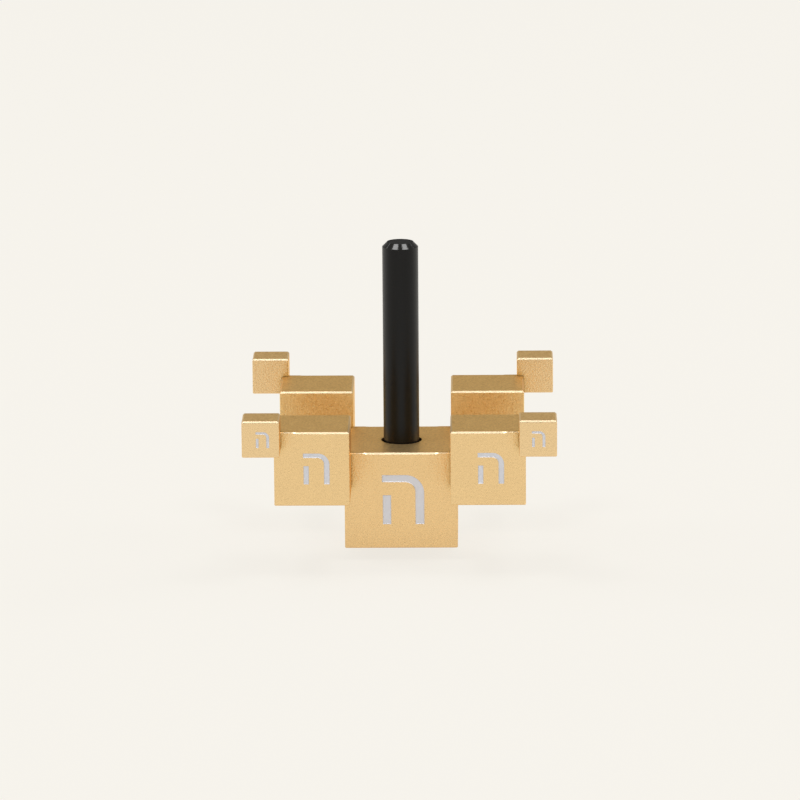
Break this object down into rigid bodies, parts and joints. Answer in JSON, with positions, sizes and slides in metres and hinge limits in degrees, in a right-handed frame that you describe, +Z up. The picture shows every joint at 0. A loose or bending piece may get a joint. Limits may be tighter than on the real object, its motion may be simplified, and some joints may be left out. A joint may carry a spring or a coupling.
{
  "type": "dreidel",
  "caption": "Spinning top of stepped cubic aluminium blocks round a central block, with a lettered face on each side, a straight finger stem and a ball tip.",
  "frame": {"origin": "lowest point of the ball tip, on the spin axis", "axes": "+Z up along the stem, -Y out of the front face, +X to the right as seen from the front"},
  "size_m": [0.0498, 0.0498, 0.0506],
  "materials": {
    "anodised_gold": "bead-blasted, gold anodised",
    "engraved_bare": "engraved through the anodising to bare matt metal",
    "stem_black": "satin black anodised",
    "steel": "ground and polished"
  },
  "bodies": {
    "root": {"central_block": "anodised_gold", "medium_block_front_left": "anodised_gold", "medium_block_front_right": "anodised_gold", "medium_block_back_left": "anodised_gold", "medium_block_back_right": "anodised_gold", "small_block_front_left": "anodised_gold", "small_block_front_right": "anodised_gold", "small_block_back_left": "anodised_gold", "small_block_back_right": "anodised_gold", "stem": "stem_black", "medium_dowels": "steel", "small_dowels": "steel", "tip_ball": "steel"}
  },
  "joints": []
}
